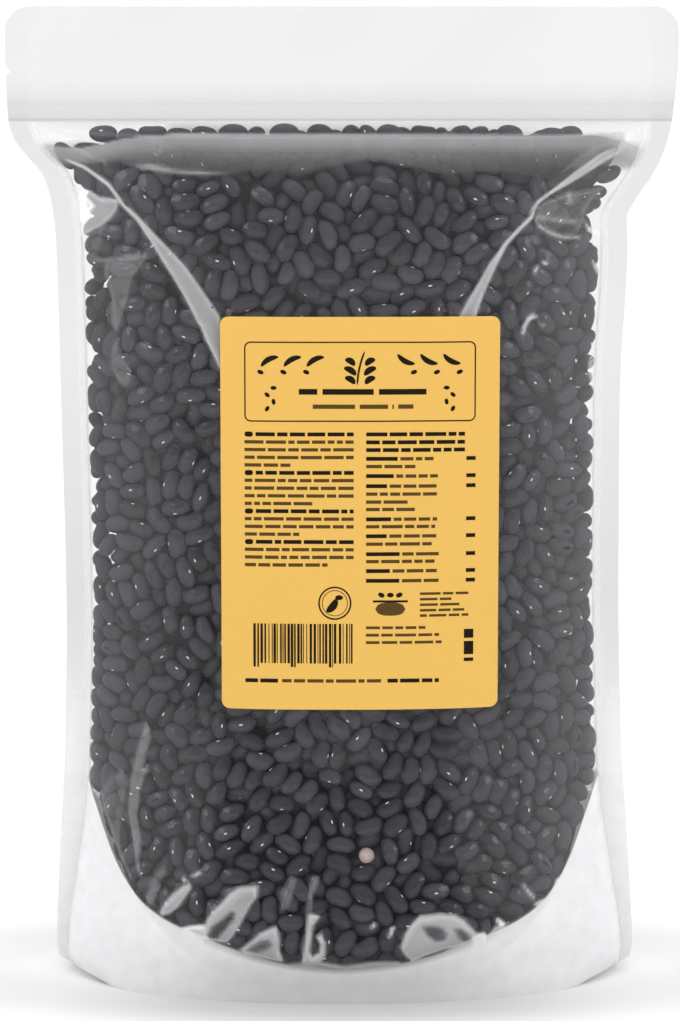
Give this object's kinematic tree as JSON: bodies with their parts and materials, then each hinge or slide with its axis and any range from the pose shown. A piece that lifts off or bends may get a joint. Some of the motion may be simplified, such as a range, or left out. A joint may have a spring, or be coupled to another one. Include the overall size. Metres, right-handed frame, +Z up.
{
  "type": "bag of dried beans",
  "caption": "Clear stand-up pouch filled with dried dark beans, with a wide sealed header, a gusseted foot and a plain yellow label on its front.",
  "frame": {"origin": "middle of the pouch's width and depth, on the surface it stands on", "axes": "+Z up the pouch, X across its width, -Y out of the labelled front"},
  "size_m": [0.2525, 0.0944, 0.375],
  "materials": {
    "filled_film": "dark beans seen through clear glossy film",
    "clear_film": "clear glossy film, a little milky where two films are welded",
    "beans": "smooth dull bean skins, blue-black",
    "label_paper": "satin coated paper, warm yellow"
  },
  "bodies": {
    "root": {"pouch": "filled_film", "label": "label_paper"}
  },
  "joints": []
}
